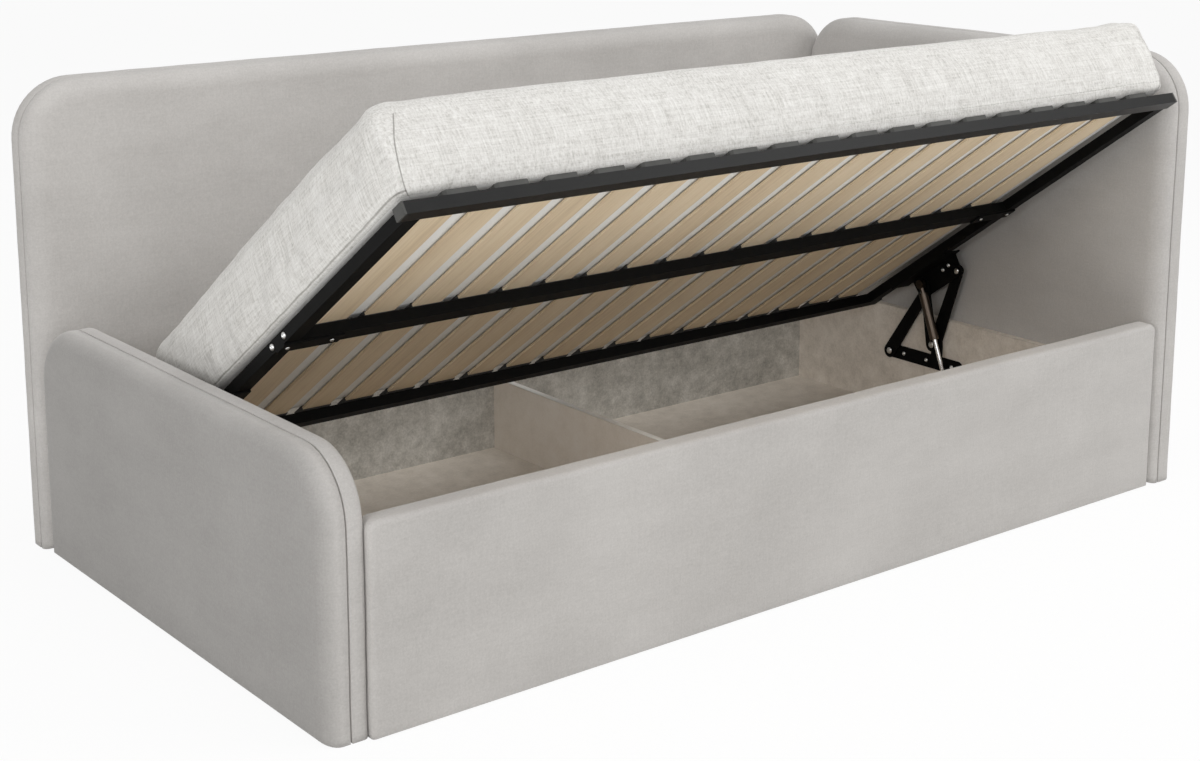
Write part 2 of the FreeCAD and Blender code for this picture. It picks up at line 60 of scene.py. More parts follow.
class Signal:
    """One output of a node. Arithmetic on it adds Math nodes to the same tree."""

    def __init__(self, wiring, socket):
        self.wiring = wiring
        self.socket = socket

    def maths(self, operation, first, second=0.0):
        """A Math node on one or two values, of which at least one is a signal."""
        return self.wiring.node("ShaderNodeMath", {"operation": operation}, {0: first, 1: second})

    def __add__(self, other):
        return self.maths("ADD", self, other)

    def __sub__(self, other):
        return self.maths("SUBTRACT", self, other)

    def __rsub__(self, other):
        return self.maths("SUBTRACT", other, self)

    def __mul__(self, other):
        return self.maths("MULTIPLY", self, other)

    __radd__ = __add__
    __rmul__ = __mul__

    def __abs__(self):
        return self.maths("ABSOLUTE", self)

    def least(self, other):
        """The smaller of two values."""
        return self.maths("MINIMUM", self, other)

    def most(self, other):
        """The larger of two values."""
        return self.maths("MAXIMUM", self, other)

    def below(self, limit):
        """1 where the value lies under a limit, otherwise 0."""
        return self.maths("LESS_THAN", self, limit)

    def wave(self, rate):
        """The sine of the value times a rate."""
        return self.maths("SINE", self * rate)

    def line(self, width):
        """1 where the value is 0, falling to 0 at a width on either side."""
        return (1.0 - abs(self) * (1.0 / width)).most(0.0)


class Wiring:
    """The nodes of a material or of the world, and the links between them."""

    def __init__(self, tree):
        self.tree = tree

    def feed(self, socket, value):
        """Gives a socket a plain value or a link."""
        if isinstance(value, Signal):
            self.tree.links.new(value.socket, socket)
        else:
            socket.default_value = value

    def node(self, kind, settings=None, sockets=None, out=0):
        """Adds a node: its settings first, then the values or links of its sockets."""
        made = self.tree.nodes.new(kind)
        for name, value in (settings or {}).items():
            if name == "stops":
                ramp = made.color_ramp.elements
                while len(ramp) < len(value):
                    ramp.new(0.5)
                for stop, (place, colour) in zip(ramp, value):
                    stop.position = place
                    stop.color = (*colour, 1.0)
            else:
                setattr(made, name, value)
        for name, value in (sockets or {}).items():
            self.feed(made.inputs[name], value)
        return Signal(self, made.outputs[out])

    def shown_rays(self):
        """1 for rays that see a background, directly or in metal, and 0 for rays that light the bed."""
        rays = [self.node("ShaderNodeLightPath", out=kind)
                for kind in ("Is Camera Ray", "Is Glossy Ray", "Is Transmission Ray")]
        return (rays[0] + rays[1] + rays[2]).least(1.0)


class Finish(Wiring):
    """A material built round one Principled shader."""

    def __init__(self, name, **plain):
        self.material = bpy.data.materials.new(name)
        self.material.use_nodes = True
        super().__init__(self.material.node_tree)
        self.shader = self.tree.nodes["Principled BSDF"]
        for socket, value in plain.items():
            self.shader.inputs[socket.replace("_", " ").title()].default_value = value

    def place(self, turn=0.0):
        """The piece's own coordinates, turned about X so that they lie along a lifted piece."""
        here = self.node("ShaderNodeTexCoord", out="Object")
        if not turn:
            return here
        return self.node("ShaderNodeMapping", {"vector_type": "POINT"},
                         {"Vector": here, "Rotation": (turn, 0.0, 0.0)})

    def parts(self, where):
        """The three coordinates of a place."""
        return [self.node("ShaderNodeSeparateXYZ", None, {"Vector": where}, axis) for axis in "XYZ"]

    def grain(self, where, scale, detail=2.0, roughness=0.5):
        """A noise from 0 to 1, stretched along the axes whose scale is small."""
        spread = self.node("ShaderNodeVectorMath", {"operation": "MULTIPLY"}, {0: where, 1: scale})
        return self.node("ShaderNodeTexNoise", None,
                         {"Vector": spread, "Scale": 1.0, "Detail": detail, "Roughness": roughness})

    def shades(self, amount, stops):
        """A colour picked from stops by an amount from 0 to 1."""
        return self.node("ShaderNodeValToRGB", {"stops": stops}, {"Fac": amount})

    def blend(self, amount, first, second):
        """Two colours mixed by an amount."""
        return self.node("ShaderNodeMix", {"data_type": "RGBA"},
                         {0: amount, 6: first, 7: second}, out=2)

    def relief(self, height, distance, strength):
        """Feeds the shader's normal with a bump of the given depth."""
        bump = self.node("ShaderNodeBump", None,
                         {"Height": height, "Distance": distance, "Strength": strength})
        self.feed(self.shader.inputs["Normal"], bump)

    def colour(self, value):
        self.feed(self.shader.inputs["Base Color"], value)

    def roughness(self, value):
        self.feed(self.shader.inputs["Roughness"], value)

    def shine(self, value):
        self.shader.inputs["Specular IOR Level"].default_value = value


def uniform(scale):
    """The same noise scale along all three axes."""
    return (scale, scale, scale)


def linear(value):
    """The share of light that an 8-bit value of a display stands for."""
    return ((value / 255 + 0.055) / 1.055) ** 2.4 if value > 10 else value / 3295


def tint(red, green, blue):
    """A linear colour from the 8-bit values of a display."""
    return (linear(red), linear(green), linear(blue))


# Painted shade: on the foot panel the colour darkens between two places along X, from its rim to
# its outer face, and keeps this share of its colour there.
FOOT_PAINTED_SHADE_SPAN = (-1.050, -1.078)
PAINTED_SHADE_SHARE = 0.66


def velvet(name, painted_shade_span=None):
    """Light warm grey velvet: a short nap on a fine weave, with soft clouds where it was brushed.

    Its second argument holds two places along X. From the first to the second the colour darkens to
    painted shade.
    """
    finish = Finish(name, roughness=0.85, sheen_weight=0.28, sheen_roughness=0.4)
    finish.shine(0.2)
    where = finish.place()
    clouds = finish.grain(where, uniform(3.0), detail=3.0, roughness=0.55)
    strokes = finish.grain(where, (5.0, 5.0, 13.0), detail=4.0, roughness=0.6)
    pile = finish.grain(where, uniform(270.0), detail=3.0, roughness=0.7)
    weft = finish.grain(where, (34.0, 34.0, 250.0), detail=2.0, roughness=0.6)
    warp = finish.grain(where, (250.0, 250.0, 34.0), detail=2.0, roughness=0.6)
    weave = weft * 0.5 + warp * 0.5
    tone = clouds * 0.25 + strokes * 0.2 + pile * 0.35 + weave * 0.2
    stops = [(0.32, tint(174, 171, 168)), (0.5, tint(190, 187, 184)), (0.68, tint(205, 202, 199))]
    cloth = finish.shades(tone, stops)
    # Painted shade: from the first place to the second the cloth blends into a darker, shaded copy of its
    # colours.
    if painted_shade_span:
        start, end = painted_shade_span
        painted_shade = ((finish.parts(where)[0] - start) * (1.0 / (end - start))).most(0.0).least(1.0)
        dark = [(place, [PAINTED_SHADE_SHARE * part for part in colour]) for place, colour in stops]
        cloth = finish.blend(painted_shade, cloth, finish.shades(tone, dark))
    finish.colour(cloth)
    finish.relief(pile * 0.5 + weave * 0.5, distance=0.0010, strength=0.5)
    return finish.material


# The linen's threads are fine across and long along. Heights are above the mattress's underside.
THREAD_FINE = 300.0
THREAD_LONG = 11.0
SEAM_LEAN = 0.2
SEAM_WIDTH = 0.0020
SEAM_REACH = 0.05
SEAM_TOP_DROP = 0.05
STITCH_RATE = 700.0
STITCH_LEVEL = 0.3
HEM_HEIGHT = 0.020
HEM_WIDTH = 0.0016
FOLD_HEIGHT = 0.009
FOLD_WIDTH = 0.0022
FOLD_REACH = 0.02
# Up to this height above the underside the cloth is painted paler, as painted light.
PAINTED_LIGHT_HEIGHT = 0.003


def linen(low, high):
    """Off-white slubby cloth with its threads along the mattress and across it.

    low and high are the corners of the mattress, which place its leaning corner seams, the stitched
    hem that shows more towards the head end, and the fold at the foot end; these are darkened with
    painted shade, and the underside is made paler with painted light.
    """
    finish = Finish("slub_linen", roughness=0.92, sheen_weight=0.1, sheen_roughness=0.5)
    finish.shine(0.15)
    where = finish.place()
    along, across, upright = [
        finish.grain(where, [THREAD_LONG if axis == run else THREAD_FINE for axis in range(3)],
                     detail=3.0, roughness=0.65) for run in range(3)]
    slubs = finish.grain(where, (30.0, 150.0, 60.0), detail=4.0, roughness=0.7)
    bands = finish.grain(where, (26.0, 26.0, 2.0), detail=3.0, roughness=0.55)
    threads = along * 0.27 + across * 0.33 + upright * 0.40
    tone = threads * 0.82 + slubs * 0.08 + bands * 0.10

    x, y, z = finish.parts(where)
    middle, half = (low + high) / 2, (high - low) / 2
    upright_x = x - (z - low.z) * SEAM_LEAN
    from_end = half.x - abs(upright_x - middle.x)
    from_side = half.y - abs(y - middle.y)
    corner = (from_end - from_side).line(SEAM_WIDTH)
    corner = corner * from_end.most(from_side).below(SEAM_REACH) * z.below(high.z - SEAM_TOP_DROP)
    stitches = (x + y).wave(STITCH_RATE).below(STITCH_LEVEL)
    headward = (x - low.x) * (1.0 / (high.x - low.x))
    hem = (z - (low.z + HEM_HEIGHT)).line(HEM_WIDTH) * (0.35 + stitches * 0.65) * headward
    fold = (z - (low.z + FOLD_HEIGHT)).line(FOLD_WIDTH) * (x - low.x).below(FOLD_REACH)

    cloth = finish.shades(tone, [(0.37, tint(181, 179, 174)), (0.48, tint(213, 211, 207)),
                                 (0.60, tint(233, 232, 229))])
    # Painted shade darkens the corner seams, the hem and the fold where the cloth creases in, and the
    # hem's stitches darken it further in dashes.
    stitches_and_seam_shade = (corner * 0.75 + hem * 0.3 + fold * 0.6).least(1.0)
    cloth = finish.blend(stitches_and_seam_shade, cloth, (*tint(120, 116, 110), 1.0))
    # Painted light: the underside is made paler, to brighten the shaded gaps between the slats.
    underside = z.below(low.z + PAINTED_LIGHT_HEIGHT)
    finish.colour(finish.blend(underside, cloth, (*tint(243, 242, 239), 1.0)))
    finish.relief(threads - corner * 1.6 - hem * 0.9 - fold * 1.6, distance=0.0014, strength=0.55)
    return finish.material


def plywood():
    """Bare laminated slats with fine grain along them and a tone of their own each."""
    finish = Finish("slat_plywood", roughness=0.55)
    where = finish.place(LIFT_ANGLE)
    each = finish.grain(where, (10.1, 0.4, 0.4), detail=1.0, roughness=0.4)
    grain = finish.grain(where, (190.0, 5.0, 190.0), detail=4.0, roughness=0.65)
    pores = finish.grain(where, (700.0, 22.0, 700.0), detail=2.0, roughness=0.6)
    tone = each * 0.3 + grain * 0.5 + pores * 0.2
    finish.colour(finish.shades(tone, [(0.3, tint(211, 187, 155)), (0.5, tint(232, 211, 179)),
                                       (0.72, tint(243, 226, 199))]))
    finish.roughness(0.45 + grain * 0.2)
    finish.relief(grain * 0.5 + pores * 0.5, distance=0.0003, strength=0.4)
    return finish.material


def mottled_board(name, dark, middle, light):
    """Faced board with a cloudy, stone-like print and a faint fleck."""
    finish = Finish(name, roughness=0.6)
    where = finish.place()
    clouds = finish.grain(where, uniform(24.0), detail=6.0, roughness=0.7)
    patches = finish.grain(where, uniform(5.0), detail=3.0, roughness=0.5)
    fleck = finish.grain(where, uniform(210.0), detail=3.0, roughness=0.6)
    tone = clouds * 0.55 + patches * 0.2 + fleck * 0.25
    finish.colour(finish.shades(tone, [(0.34, dark), (0.5, middle), (0.66, light)]))
    finish.roughness(0.52 + clouds * 0.16)
    finish.relief(fleck * 0.6 + clouds * 0.4, distance=0.0004, strength=0.3)
    return finish.material


def raw_board():
    """Chipboard with visible chips, for the cores and battens inside."""
    finish = Finish("raw_chipboard", roughness=0.8)
    where = finish.place()
    chips = finish.node("ShaderNodeTexVoronoi", {"feature": "F1"},
                        {"Vector": where, "Scale": 190.0}, "Color")
    chip = finish.node("ShaderNodeSeparateColor", None, {"Color": chips})
    dust = finish.grain(where, uniform(500.0))
    finish.colour(finish.shades(chip * 0.7 + dust * 0.3, [
        (0.1, tint(126, 98, 66)), (0.5, tint(176, 146, 106)), (0.9, tint(206, 182, 146))]))
    finish.relief(chip, distance=0.0004, strength=0.4)
    return finish.material


def coated(name, dark, light, low, skin, gloss):
    """Baked paint or moulded plastic: an even satin with a fine skin and faint clouds of wear.

    low is its least roughness and skin the scale of its fine skin.
    """
    finish = Finish(name)
    finish.shine(gloss)
    where = finish.place()
    peel = finish.grain(where, uniform(skin))
    wear = finish.grain(where, uniform(18.0), detail=4.0, roughness=0.6)
    finish.colour(finish.shades(wear, [(0.35, dark), (0.65, light)]))
    finish.roughness(low + wear * 0.16)
    finish.relief(peel, distance=0.0002, strength=0.5)
    return finish.material


def plated_steel(name, colour, low, spread):
    """Plated steel with fine turning marks. Its roughness runs from low over a spread."""
    finish = Finish(name, metallic=1.0)
    where = finish.place()
    marks = finish.grain(where, (90.0, 700.0, 700.0))
    haze = finish.grain(where, uniform(60.0), detail=3.0)
    dull = [0.86 * part for part in colour]
    finish.colour(finish.blend(haze, (*dull, 1.0), (*colour, 1.0)))
    finish.roughness(low + (haze * 0.6 + marks * 0.4) * spread)
    return finish.material


VELVET = velvet("grey_velvet")
# The foot panel's velvet, with painted shade on its outer face.
FOOT_VELVET_PAINTED_SHADE = velvet("grey_velvet_painted_shade", FOOT_PAINTED_SHADE_SPAN)
PLYWOOD = plywood()
LINING = mottled_board("grey_lining", tint(146, 144, 138), tint(196, 193, 186), tint(234, 231, 225))
BOARD = mottled_board("beige_board", tint(203, 194, 182), tint(228, 219, 208), tint(244, 237, 227))
# Painted shade: the bottom boards are a darker copy of the beige board.
BASE_BOARD_PAINTED_SHADE = mottled_board("bottom_board_painted_shade", tint(193, 184, 173), tint(211, 202, 190), tint(224, 216, 206))
# Painted light: the divider is a paler copy of the beige board, standing in for light that reaches it.
PARTITION_PAINTED_LIGHT = mottled_board("partition_board_painted_light", tint(226, 217, 205), tint(236, 227, 216), tint(242, 235, 226))
BAND = mottled_board("pale_edge_band", tint(243, 240, 234), tint(248, 246, 241), tint(250, 249, 246))
CHIPBOARD = raw_board()
RAIL_PAINT = coated("rail_paint", tint(11, 11, 11), tint(17, 17, 16), low=0.30, skin=520.0, gloss=0.19)
BLACK_PAINT = coated("black_paint", tint(9, 9, 9), tint(13, 13, 12), low=0.55, skin=520.0, gloss=0.08)
PLASTIC = coated("grey_plastic", tint(66, 66, 64), tint(80, 80, 78), low=0.55, skin=900.0, gloss=0.25)
GUNMETAL = plated_steel("gunmetal", tint(92, 82, 74), low=0.26, spread=0.16)
ZINC = plated_steel("zinc_plate", tint(222, 222, 220), low=0.22, spread=0.2)
CHROME = plated_steel("bright_chrome", tint(240, 240, 240), low=0.08, spread=0.1)


def piece(name, mesh, finish, body, place=None):
    """Puts a mesh into the scene as a piece that rides on a body."""
    made = bpy.data.objects.new(name, mesh)
    bpy.context.scene.collection.objects.link(made)
    if place:
        made.matrix_world = place
    if finish:
        mesh.materials.append(finish)
    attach(made, body)
    return made


def mesh_from(name, points, faces):
    """A smooth mesh from points and faces, with its normals outward."""
    mesh = bpy.data.meshes.new(name)
    shape = bmesh.new()
    corners = [shape.verts.new(point) for point in points]
    for face in faces:
        shape.faces.new([corners[index] for index in face]).smooth = True
    bmesh.ops.recalc_face_normals(shape, faces=shape.faces)
    shape.to_mesh(mesh)
    shape.free()
    return mesh


# Upholstered panels

# Edges are given as their depth from the face and how far they are drawn in from the side, and
# seams as the depth of their valley and half its width.
SOFT_EDGE = (0.030, 0.040)
OUTER_EDGE = (0.018, 0.018)
BOX_EDGE = (0.010, 0.010)
FRONT_EDGE = (0.010, 0.010)
FRONT_INNER_EDGE = (0.006, 0.006)
PANEL_SEAM = (0.011, 0.0028)
FOOT_SEAM = (0.006, 0.0022)
PANEL_CORNER = 0.120
FRONT_CORNER = 0.018
# At the floor an edge is drawn in by this share only.
FLOOR_SHARE = 0.3
MESH_STEP = 0.014
FEWEST_TURNS = 6
EDGE_STEPS = 8
FRONT_INNER_STEPS = 4
# Points down one side of a seam: their share of the half width and of the depth.
SEAM_SHARES = ((1.0, 0.0), (0.75, 0.1), (0.6, 0.5), (0.45, 0.95), (0.0, 1.0))
# Hollows and swellings of the taut cloth: how many to a metre, and how deep.
BROAD_RATE, BROAD_DEPTH = 4.0, 0.0011
FINE_RATE, FINE_DEPTH = 17.0, 0.0005
FLOOR_FADE = 0.05


def panel_grid(width, height, corner, inset):
    """Rows of points that fill a panel's outline drawn in by an inset, bottom row first."""
    columns = round(width / MESH_STEP)
    rows = round((height - corner) / MESH_STEP)
    turns = max(FEWEST_TURNS, round(corner * math.pi / 2 / MESH_STEP))
    low, shoulder = inset * FLOOR_SHARE, height - corner
    lines = [(low + (shoulder - low) * index / rows, inset) for index in range(rows + 1)]
    for index in range(1, turns + 1):
        angle = math.pi / 2 * index / turns
        lines.append((shoulder + (corner - inset) * math.sin(angle),
                      corner - (corner - inset) * math.cos(angle)))
    return [[(side + (width - 2 * side) * step / columns, level) for step in range(columns + 1)]
            for level, side in lines]


def rim_of(rows, columns):
    """The places of a grid's border in turn, as (row, column)."""
    border = [(0, step) for step in range(columns)]
    border += [(step, columns) for step in range(rows)]
    border += [(rows, columns - step) for step in range(columns)]
    border += [(rows - step, 0) for step in range(rows)]
    return border


def edge_arc(deep, wide, steps=EDGE_STEPS):
    """A quarter of a soft edge as (depth, inset), from the face to the side."""
    return [(deep * (1 - math.cos(turn)), wide * (1 - math.sin(turn)))
            for turn in (math.pi / 2 * index / steps for index in range(steps + 1))]


def far_edge(depth, arc):
    """An edge as it is at the far face of a panel, from the side to that face."""
    return [(depth - level, inset) for level, inset in reversed(arc)]


def settled(point):
    """A point of taut cloth with its slight hollows and swellings, none of them at the floor."""
    free = min(1.0, point.z / FLOOR_FADE)
    broad = noise.noise_vector(point * BROAD_RATE) * BROAD_DEPTH
    fine = noise.noise_vector(point * FINE_RATE) * FINE_DEPTH
    return point + (broad + fine) * free


def cover(name, corner, along, through, size, outline_corner, profile, replaced, finish=VELVET):
    """A velvet cover: two faces joined by rings that follow a profile across the panel.

    corner is the foot of the first face, along and through are directions, and size holds the
    width and the height. A profile point is a depth and how far it is drawn in.
    """
    width, height = size
    points, faces, borders = [], [], []
    for level, inset in profile:
        grid = panel_grid(width, height, outline_corner, inset)
        rows, columns = len(grid) - 1, len(grid[0]) - 1
        border = rim_of(rows, columns)
        whole = level in (profile[0][0], profile[-1][0])
        filled = [(row, column) for row in range(rows + 1) for column in range(columns + 1)]
        places = {}
        for spot in (filled if whole else border):
            across, up = grid[spot[0]][spot[1]]
            places[spot] = len(points)
            points.append(settled(corner + along * across + through * level + Vector((0, 0, up))))
        borders.append([places[spot] for spot in border])
        if whole:
            faces += [(places[row, column], places[row, column + 1], places[row + 1, column + 1],
                       places[row + 1, column]) for row in range(rows) for column in range(columns)]
    for lower, upper in zip(borders, borders[1:]):
        for index in range(len(lower)):
            after = (index + 1) % len(lower)
            faces.append((lower[index], lower[after], upper[after], upper[index]))
    made = piece(name, mesh_from(name, points, faces), finish, "box")
    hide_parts(*replaced)


def seamed_profile(depth, seam, inner, outer, valley, half):
    """An edge at either face, inner and outer, and between them the narrow valley of the seam."""
    down = [(seam - half * out, valley * deep) for out, deep in SEAM_SHARES]
    rise = [(seam + half * out, valley * deep) for out, deep in reversed(SEAM_SHARES[:-1])]
    return edge_arc(*inner) + down + rise + far_edge(depth, edge_arc(*outer))


def upholster():
    """Covers of the back, head, foot and front panels."""
    lengthwise, backward = Vector((1, 0, 0)), Vector((0, 1, 0))
    inner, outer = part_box("back_inner_pad"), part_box("back_outer_pad")
    depth, seam = outer[1].y - inner[0].y, inner[1].y - inner[0].y
    tall = seamed_profile(depth, seam, SOFT_EDGE, OUTER_EDGE, *PANEL_SEAM)
    low_end = seamed_profile(depth, seam, BOX_EDGE, SOFT_EDGE, *FOOT_SEAM)
    cover("back_cover", Vector(inner[0]), lengthwise, backward,
          (inner[1].x - inner[0].x, inner[1].z), PANEL_CORNER, tall,
          ("back_inner_pad", "back_outer_pad"))
    for name, side, finish, profile in (("head", 1, VELVET, tall), ("foot", -1, FOOT_VELVET_PAINTED_SHADE, low_end)):
        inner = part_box(f"{name}_inner_pad")
        face = inner[0].x if side > 0 else inner[1].x
        cover(f"{name}_cover", Vector((face, inner[0].y, 0)), backward, Vector((side, 0, 0)),
              (inner[1].y - inner[0].y, inner[1].z), PANEL_CORNER, profile,
              (f"{name}_inner_pad", f"{name}_outer_pad"), finish)
    low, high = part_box("front_pad")
    back = far_edge(high.y - low.y, edge_arc(*FRONT_INNER_EDGE, FRONT_INNER_STEPS))
    cover("front_cover", Vector(low), lengthwise, backward, (high.x - low.x, high.z), FRONT_CORNER,
          edge_arc(*FRONT_EDGE) + back, ("front_pad",))


# Mattress

MATTRESS_STEP = 0.012
# Radius of the upper edge at the head end: the solid's own and the cover's.
SOLID_END = 0.058
HEAD_END = 0.012
HEAD_LEAN = 0.26
# Corners at the low (0) or high (1) end of each axis, how far their pull reaches, and the pull.
PULLED_CORNERS = (
    ((1, 0, 0), 0.060, (0.017, -0.010, 0.0)),
    ((1, 0, 1), 0.120, (0.004, -0.024, 0.0)),
    ((0, 0, 1), 0.200, (0.0, 0.006, -0.010)),
)
SWELL_FRAMES = 18
SWELL_LIMIT = 0.004
HELD_HEIGHT = 0.006
# Folds of the slack cloth. Each row of rates gives one coordinate of the noise from a place.
RIPPLE_RATES = ((13.0, 0.0, 0.0), (0.0, 13.0, 0.0), (0.0, 0.0, 2.5))
PUCKER_RATES = ((42.0, 0.0, 30.0), (0.0, 11.0, 34.0), (0.0, 0.0, 9.0))
RIPPLE_DEPTH = 0.0016
PUCKER_DEPTH = 0.0016
HEAD_PUCKER_REACH = 0.22
FOOT_PUCKER_REACH = 0.12
FLAT_HEIGHT, FREE_HEIGHT = 0.004, 0.05
VALLEY_DEPTH = 0.0025
VALLEY_HALF = 0.016
VALLEY_REACH = 0.06
VALLEY_FADE = 0.02


def mattress():
    """The mattress in its linen cover, blown up as cloth from the solid's own form."""
    mesh = nodes["mattress"].data.copy()
    mesh.transform(LIFTED.inverted())
    mesh.materials.clear()
    low = Vector(min(vertex.co[axis] for vertex in mesh.vertices) for axis in range(3))
    high = Vector(max(vertex.co[axis] for vertex in mesh.vertices) for axis in range(3))
    made = piece("mattress_cover", mesh, None, "platform", LIFTED)
    remesh = made.modifiers.new("even", "REMESH")
    remesh.mode = "VOXEL"
    remesh.voxel_size = MATTRESS_STEP
    bake(made)
    swell(made, low.z)
    wrinkle(made, low, high)
    fill_head_end(made, low, high)
    made.data.materials.append(linen(low, high))
    for face in made.data.polygons:
        face.use_smooth = True
    smooth = made.modifiers.new("smooth", "SUBSURF")
    smooth.levels = 1
    smooth.render_levels = 1
    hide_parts("mattress")


def bake(made):
    """Replaces a piece's mesh by what its modifiers make of it, and clears them."""
    graph = bpy.context.evaluated_depsgraph_get()
    result = bpy.data.meshes.new_from_object(made.evaluated_get(graph), depsgraph=graph)
    made.modifiers.clear()
    made.data = result


def swell(made, seat):
    """Blows the cover up as slack cloth, with its underside held flat on the slats."""
    start = [vertex.co.copy() for vertex in made.data.vertices]
    flat = [index for index, place in enumerate(start) if place.z < seat + HELD_HEIGHT]
    held = made.vertex_groups.new(name="held")
    held.add(flat, 1.0, "REPLACE")
    cloth = made.modifiers.new("cloth", "CLOTH").settings
    cloth.quality = 4
    cloth.mass = 0.25
    cloth.tension_stiffness = 12
    cloth.compression_stiffness = 12
    cloth.shear_stiffness = 6
    cloth.bending_stiffness = 0.3
    cloth.use_pressure = True
    cloth.uniform_pressure_force = 2.5
    cloth.shrink_min = -0.02
    cloth.effector_weights.gravity = 0.0
    cloth.vertex_group_mass = held.name
    scene = bpy.context.scene
    for number in range(1, SWELL_FRAMES + 1):
        scene.frame_set(number)
    bake(made)
    scene.frame_set(1)
    made.vertex_groups.clear()
    for vertex, place in zip(made.data.vertices, start):
        moved = vertex.co - place
        if moved.length > SWELL_LIMIT:
            vertex.co = place + moved * (SWELL_LIMIT / moved.length)


def fade(value, start, end):
    """0 at the start, 1 at the end and an even ramp between them."""
    return min(1.0, max(0.0, (value - start) / (end - start)))


def rounded_off(inward, radius):
    """How far a round edge is drawn in at a distance inward of its end."""
    left = min(radius, max(0.0, radius - inward))
    return radius - math.sqrt(radius ** 2 - left ** 2)


def fill_head_end(made, low, high):
    """Fills the cover out at its head end, to a tighter edge than the solid's that leans outward."""
    full, middle = high.z - low.z, (low.x + high.x) / 2
    for vertex in made.data.vertices:
        inward = high.x - vertex.co.x
        sunk, kept = rounded_off(inward, SOLID_END), rounded_off(inward, HEAD_END)
        vertex.co.z = low.z + (vertex.co.z - low.z) * (full - kept) / (full - sunk)
        vertex.co.x += (vertex.co.z - low.z) * HEAD_LEAN * fade(vertex.co.x, middle, high.x)


def folds(place, rates):
    """A noise from -1 to 1 at a place, stretched and slanted by rows of rates."""
    return noise.noise(Vector(sum(rate * part for rate, part in zip(row, place)) for row in rates))


def wrinkle(made, low, high):
    """Soft upright ripples, puckers at the ends, drawn-in corner seams and pulled front corners."""
    normals = [vertex.normal.copy() for vertex in made.data.vertices]
    for vertex, outward in zip(made.data.vertices, normals):
        place = vertex.co.copy()
        free = fade(place.z, low.z + FLAT_HEIGHT, low.z + FREE_HEIGHT)
        ripple = folds(place, RIPPLE_RATES)
        end = max(fade(place.x, high.x - HEAD_PUCKER_REACH, high.x),
                  fade(-place.x, -low.x - FOOT_PUCKER_REACH, -low.x))
        pucker = 1.0 - abs(folds(place, PUCKER_RATES)) * 2.0
        from_end = min(place.x - low.x, high.x - place.x)
        from_side = min(place.y - low.y, high.y - place.y)
        valley = fade(VALLEY_HALF - abs(from_end - from_side), 0.0, VALLEY_HALF)
        valley *= fade(VALLEY_REACH - max(from_end, from_side), 0.0, VALLEY_FADE)
        drawn = ripple * RIPPLE_DEPTH + pucker * end * PUCKER_DEPTH - valley * VALLEY_DEPTH
        vertex.co += outward * drawn * free
        for corner, reach, shift in PULLED_CORNERS:
            at = Vector(part[index] for index, part in zip(corner, zip(low, high)))
            vertex.co += Vector(shift) * fade((place - at).length, reach, 0.0) ** 2


# Slatted frame, box and fittings

# How far the edges of tubes, boards, pressed steel or mouldings, and rods are rounded off.
TUBE_EDGE = 0.0016
BOARD_EDGE = 0.0008
PRESSED_EDGE = 0.0006
ROD_EDGE = 0.0004
SHARPEST_ANGLE = math.radians(40)
EDGE_SEGMENTS = 2


def dress(names, finish, edge=None):
    """Gives CAD nodes a finish of their own, and takes their sharp edges off if asked."""
    for name in names:
        node = nodes[name]
        node.data.materials.clear()
        node.data.materials.append(finish)
        if edge:
            bevel = node.modifiers.new("edges", "BEVEL")
            bevel.width = edge
            bevel.segments = EDGE_SEGMENTS
            bevel.limit_method = "ANGLE"
            bevel.angle_limit = SHARPEST_ANGLE


def dress_solids():
    """Finishes for the solids that stay as they are."""
    dress([name for name in nodes if name.startswith("slat_")], PLYWOOD)
    dress(("front_rail",), RAIL_PAINT, TUBE_EDGE)
    dress(("back_rail", "left_end_rail", "right_end_rail", "centre_beam"), BLACK_PAINT, TUBE_EDGE)
    dress(("beam_plates",), BLACK_PAINT, BOARD_EDGE)
    dress(("front_holders", "centre_holders", "back_holders"), PLASTIC, PRESSED_EDGE)
    dress(("rail_caps",), PLASTIC, BOARD_EDGE)
    dress(("back_wall",), LINING, BOARD_EDGE)
    dress(("left_wall", "right_wall"), BOARD, BOARD_EDGE)
    dress(("left_bottom", "right_bottom"), BASE_BOARD_PAINTED_SHADE, BOARD_EDGE)
    dress(("divider",), PARTITION_PAINTED_LIGHT, BOARD_EDGE)
    dress(("back_core", "head_core", "foot_core", "front_core", "front_rest"), CHIPBOARD)
    dress(("corner_angles",), ZINC, PRESSED_EDGE)
    for side, _ in SIDES:
        steel = ("base_bracket", "upper_bracket", "front_link", "rear_link")
        dress([f"{name}_{side}" for name in steel], BLACK_PAINT, PRESSED_EDGE)
        dress((f"gas_cylinder_{side}",), GUNMETAL, BOARD_EDGE)
        dress((f"gas_rod_{side}",), CHROME, ROD_EDGE)


# Screws, bolts and rivets

# Radius of each kind of head, and how deep a head is let into what it holds.
BOLT_HEAD = 0.0065
SCREW_HEAD = 0.0050
PLATE_SCREW_HEAD = 0.0042
RIVET_HEAD = 0.0072
PIVOT_HEAD = 0.0078
HEAD_SINK = 0.0002
HEAD_SIDES = 24

# Pins and faces of the mechanism on the bed's right side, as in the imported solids: a pin of the
# box as (y, z), a face as x.
FRONT_PIVOT = (0.0202, 0.1964)
REAR_PIVOT = (0.1684, 0.1481)
SPRING_PIVOT = (-0.0470, 0.1000)
BRACKET_FACE = 0.9684
RIVET_FACE = 0.9659
CRANK_FACE = 0.9610
LINK_FACE = 0.9727
BASE_FACE = 0.9800
SPRING_FACE = 0.9423
PIVOT_ENDS = ((LINK_FACE, REAR_PIVOT), (CRANK_FACE, FRONT_PIVOT), (SPRING_FACE, SPRING_PIVOT))
BASE_SCREWS = (REAR_PIVOT[0] - 0.042, 0.052, -0.030)

